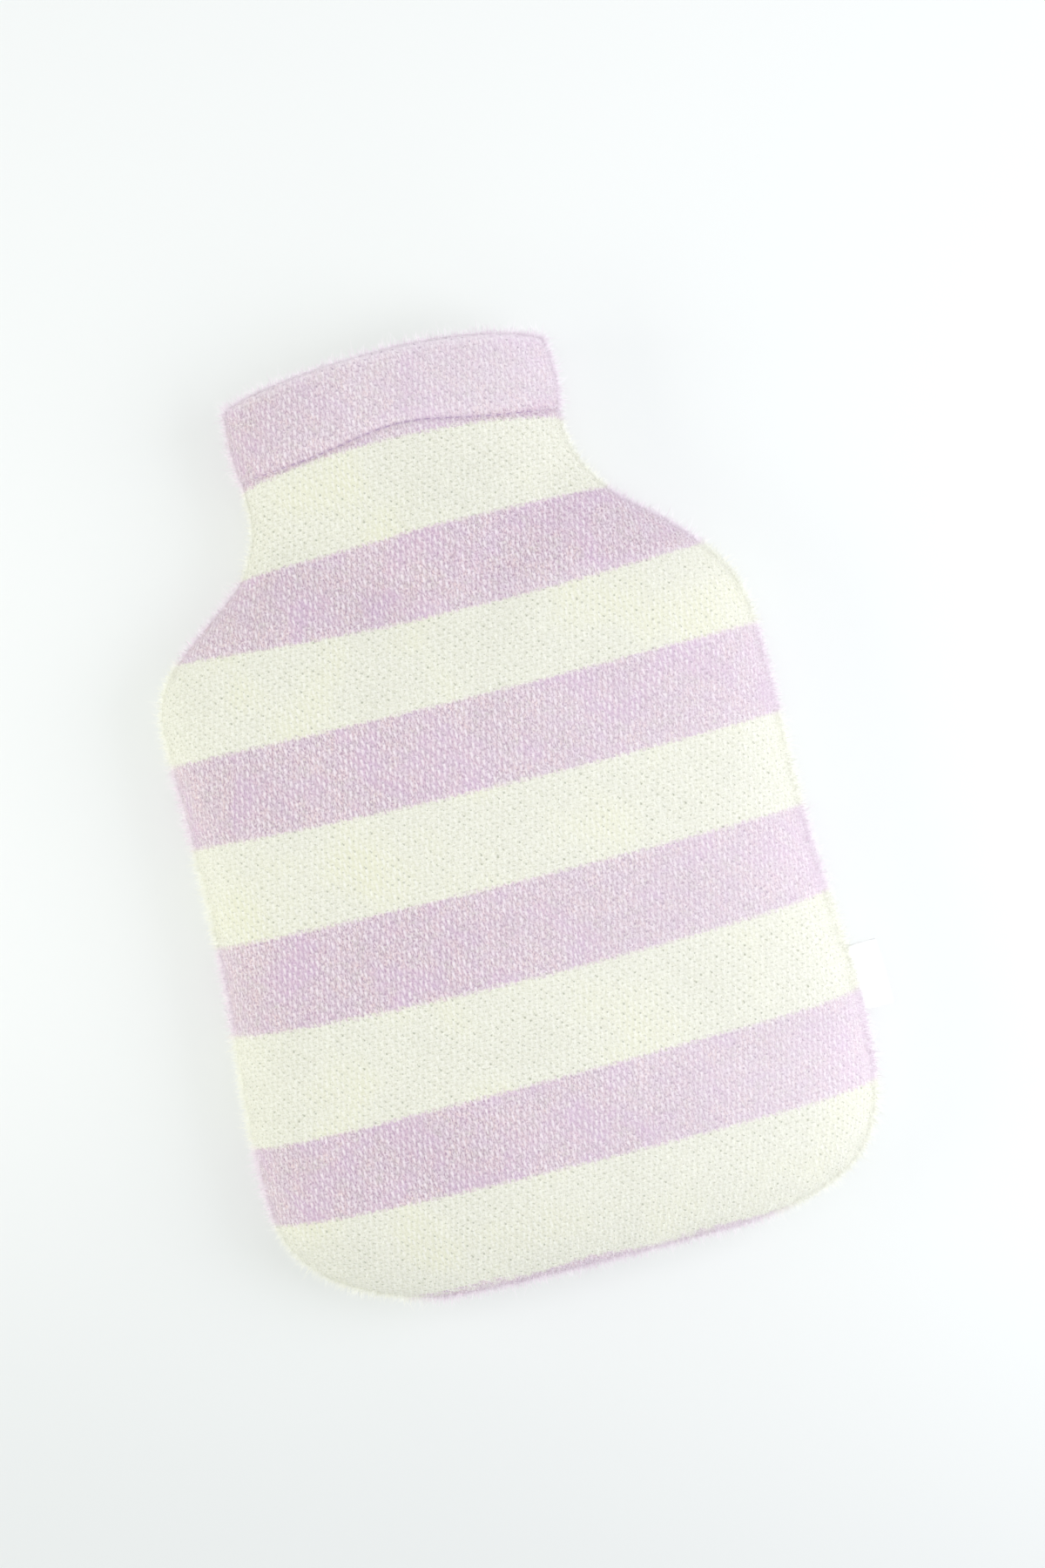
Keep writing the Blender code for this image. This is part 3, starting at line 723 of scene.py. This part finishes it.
def mark_cloth(cloth, front):
    """The cloth's UV map, which follows its yarns, its stripes' numbers and its painted light."""
    mesh = cloth.data
    points, normals = points_of(mesh)
    flat = rolled_out(points, normals)
    number = stripe_number(points[:, 0], points[:, 1])
    under = covered(mesh, points, front)
    turned_in = under & (points[:, 1] > HEM_EDGE)
    number[turned_in] = TURNED_IN
    number[~turned_in] = np.maximum(number[~turned_in], BAND_STARTS)
    flat[turned_in, 1] = 2 * fold_line(points)[turned_in] - flat[turned_in, 1]
    corner = np.empty(len(mesh.loops), np.int32)
    mesh.loops.foreach_get("vertex_index", corner)
    layer = mesh.uv_layers.new(name="cloth")
    layer.uv.foreach_set("vector", flat[corner].ravel())
    put(mesh, "stripe", number)
    # painted light: how much the cloth's colour is paled here
    put(mesh, "painted_light", painted_light_share(points, normals))
    return number, under


def outer_faces(cloth, number, under):
    """The uncovered triangles: their corners, the normals and stripe numbers there, and areas."""
    mesh = cloth.data
    mesh.calc_loop_triangles()
    corners = np.empty(len(mesh.loop_triangles) * 3, np.int32)
    mesh.loop_triangles.foreach_get("vertices", corners)
    corners = corners.reshape(-1, 3)
    corners = corners[~under[corners].any(axis=1)]
    points, normals = points_of(mesh)
    a, b, c = (points[corners[:, k]] for k in range(3))
    area = np.linalg.norm(np.cross(b - a, c - a), axis=1)
    return points[corners], normals[corners], number[corners], area


def hair_growth(roots, out_of, sides_only):
    """How thickly hairs grow on each triangle."""
    upright = 1 - np.abs(out_of.mean(1)[:, 2])
    x, y, _ = roots.mean(1).T
    if sides_only:
        return np.clip(upright - LOOSE_FROM, 0, 1) * np.where(y > MOUTH_STARTS, MOUTH_LOOSE, 1.0)
    across = np.interp(x, NAP_ACROSS, (NAP_AT_LEFT, NAP_AT_RIGHT))
    return (NAP_ON_FLAT + NAP_ON_SIDES * upright) * across


def joined_blades(name, blades, stripe, shade):
    """Flat blades as one mesh. Each has two points at its root, two in its middle and its tip."""
    count = len(stripe)
    start = np.arange(count) * BLADE_POINTS
    mesh = bpy.data.meshes.new(name)
    mesh.vertices.add(count * BLADE_POINTS)
    mesh.vertices.foreach_set("co", np.stack(blades, axis=1).ravel())
    lower = (start, start + 1, start + 2, start + 3)
    upper = (start + 3, start + 2, start + 4)
    corners = np.stack(lower + upper, axis=1).astype(np.int32)
    mesh.loops.add(count * BLADE_CORNERS)
    mesh.loops.foreach_set("vertex_index", corners.ravel())
    first = np.arange(count) * BLADE_CORNERS
    firsts = np.stack((first, first + len(lower)), axis=1).astype(np.int32)
    mesh.polygons.add(count * 2)
    mesh.polygons.foreach_set("loop_start", firsts.ravel())
    mesh.update(calc_edges=True)
    put(mesh, "stripe", np.repeat(stripe, BLADE_POINTS))
    put(mesh, "shade", np.repeat(shade, BLADE_POINTS))
    mesh.validate()
    piece = bpy.data.objects.new(name, mesh)
    bpy.context.collection.objects.link(piece)
    return piece


def hairs(cloths, name, count, lengths, sides_only, seed):
    """Wool ends standing out of the cloth's outer face, as one joined mesh of thin curved blades.

    cloths holds each panel with its stripe numbers and the points that another layer covers.
    """
    rng = np.random.default_rng(seed)
    shortness, paleness = LOOSE_SPREAD if sides_only else NAP_SPREAD
    faces = zip(*(outer_faces(*cloth) for cloth in cloths))
    roots, out_of, stripes, areas = (np.concatenate(kind) for kind in faces)
    growth = areas * hair_growth(roots, out_of, sides_only)
    chosen = rng.choice(len(growth), count, p=growth / growth.sum())
    weights = rng.dirichlet((1.0, 1.0, 1.0), count)
    root = (roots[chosen] * weights[..., None]).sum(1)
    normal = (out_of[chosen] * weights[..., None]).sum(1)
    normal /= np.linalg.norm(normal, axis=1, keepdims=True)
    stripe = (stripes[chosen] * weights).sum(1)
    side = np.cross(normal, rng.normal(size=(count, 3)))
    side /= np.linalg.norm(side, axis=1, keepdims=True)
    onward = np.cross(side, normal)
    shortest, longest = lengths
    length = shortest + (longest - shortest) * rng.power(shortness, count)[:, None]
    lift = rng.uniform(*HAIR_LIFT, count)[:, None]
    curl = rng.normal(0, HAIR_CURL, (count, 3))
    first = onward * (1 - lift) + normal * lift
    second = onward * (1 - lift * HAIR_BEND) + normal * lift * (1 - HAIR_BEND) + curl
    half = HAIR / 2
    base = root - normal * HAIR_ROOT
    middle = root + first * length * 0.5
    tip = middle + second * length * 0.5
    tip[:, 2] = np.maximum(tip[:, 2], 0.0)
    middle[:, 2] = np.maximum(middle[:, 2], 0.0)
    across = side * half
    blades = (base - across, base + across, middle + across, middle - across, tip)
    return joined_blades(name, blades, stripe, rng.power(paleness, count))


def stitch_places(cloth, up):
    """Where each stitch starts and ends on the cloth's outer face: up is 1 on the front, -1 behind."""
    surface = surface_of(cloth.data)
    ends = []
    for x in np.arange(-NECK_HALF_WIDTH + STITCH, NECK_HALF_WIDTH - STITCH / 2, STITCH):
        start = Vector((x, float(seam_line(x)), NECK_MIDDLE + RAY_LENGTH * up))
        ends.append(surface.ray_cast(start, Vector((0.0, 0.0, -up)))[0])
    pairs = [pair for pair in zip(ends, ends[1:]) if None not in pair]
    return [(here, on) for here, on in pairs if (on - here).length <= STITCH * STITCH_LONGEST]


def hem_stitches(panels):
    """Short stitches of sewing thread, sunk in the hem all round the neck: one made, then copied."""
    bpy.ops.object.select_all(action="DESELECT")
    bpy.ops.mesh.primitive_uv_sphere_add(segments=8, ring_count=6, radius=0.5)
    stitches = bpy.context.object
    stitches.name = "hem_stitches"
    bpy.ops.object.mode_set(mode="EDIT")
    bpy.ops.transform.resize(value=(STITCH * STITCH_SHOWN, THREAD, THREAD))
    bpy.ops.object.mode_set(mode="OBJECT")
    one, _ = points_of(stitches.data)
    corners = [tuple(face.vertices) for face in stitches.data.polygons]
    points, faces = [], []
    for (cloth, _, _), up in zip(panels, (1.0, -1.0)):
        for here, on in stitch_places(cloth, up):
            turn = (on - here).normalized().to_track_quat("X", "Z").to_matrix()
            centre = (here + on) / 2 - Vector((0.0, 0.0, up * THREAD * STITCH_SUNK))
            first = len(points)
            points.extend(centre + turn @ Vector(point) for point in one)
            faces.extend(tuple(first + k for k in face) for face in corners)
    mesh = bpy.data.meshes.new("hem_stitches")
    mesh.from_pydata(points, [], faces)
    stitches.data = mesh
    select_only(stitches)
    bpy.ops.object.shade_smooth()
    return stitches


def table_top():
    bpy.ops.object.select_all(action="DESELECT")
    bpy.ops.mesh.primitive_plane_add(size=TABLE_SIZE, location=(0, 0, TABLE_TOP))
    table = bpy.context.object
    table.name = "studio_floor"
    table.data.materials.append(glowing_table())
    select_only(table)
    bpy.ops.object.transform_apply(location=True, rotation=True, scale=True)


def softbox(name, at, size, watts, colour):
    """A square soft light at a place, facing the cover."""
    lamp = bpy.data.lights.new(name, "AREA")
    lamp.shape = "SQUARE"
    lamp.size = size
    lamp.energy = watts
    lamp.color = colour
    placed = bpy.data.objects.new(name, lamp)
    placed.location = at
    placed.rotation_euler = Vector(at).to_track_quat("Z", "Y").to_euler()
    bpy.context.collection.objects.link(placed)


def white_cove():
    """The white studio all round, brighter towards the horizon."""
    world = bpy.data.worlds.new("pale_studio")
    world.use_nodes = True
    tree = world.node_tree
    background = tree.nodes["Background"]
    background.inputs["Color"].default_value = linear(COVE_COLOUR)
    height = add(tree, "SeparateXYZ", add(tree, "TexCoord").outputs["Generated"]).outputs["Z"]
    glow = add(tree, "MapRange", height, 0.0, COVE_DIMS_TO, COVE_AT_HORIZON, COVE_OVERHEAD)
    tree.links.new(first_output(glow), background.inputs["Strength"])
    bpy.context.scene.world = world


def view_from_above():
    lens = bpy.data.cameras.new("camera")
    lens.lens = LENS
    lens.sensor_width = SENSOR
    lens.sensor_height = SENSOR
    lens.sensor_fit = "AUTO"
    camera = bpy.data.objects.new("camera", lens)
    camera.location = CAMERA_AT
    camera.rotation_euler = (0.0, 0.0, CAMERA_TURN)
    bpy.context.collection.objects.link(camera)
    bpy.context.scene.camera = camera


white_cove()
for lamp in SOFTBOXES:
    softbox(*lamp)
view_from_above()
bpy.context.scene.view_settings.view_transform = "Standard"
table_top()
wool = brushed_wool()
fibres = wool_fibres()

front = laid_cloth("front_panel", "front_cloth", PANEL_LEVELS)
back = laid_cloth("back_panel", "back_cloth", PANEL_LEVELS)
press_troughs(front)
panels = []
for cloth, is_front in ((front, True), (back, False)):
    sink_seam(cloth)
    number, under = mark_cloth(cloth, is_front)
    cloth.data.materials.append(wool)
    panels.append((cloth, number, under))
    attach(cloth, "root")
naps = [
    hairs(panels[:1], "front_nap", NAP, NAP_LENGTH, sides_only=False, seed=3),
    hairs(panels[1:], "back_nap", NAP, NAP_LENGTH, sides_only=False, seed=5),
    hairs(panels, "loose_hairs", LOOSE, LOOSE_LENGTH, sides_only=True, seed=7),
]
for nap in naps:
    nap.data.materials.append(fibres)
    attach(nap, "root")
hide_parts("front_panel")
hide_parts("back_panel")

stitches = hem_stitches(panels)
stitches.data.materials.append(sewing_thread())
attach(stitches, "root")

tab = laid_cloth("label_tab", "tab_ribbon", TAB_LEVELS)
tab.data.materials.append(woven_ribbon())
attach(tab, "root")
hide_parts("label_tab")
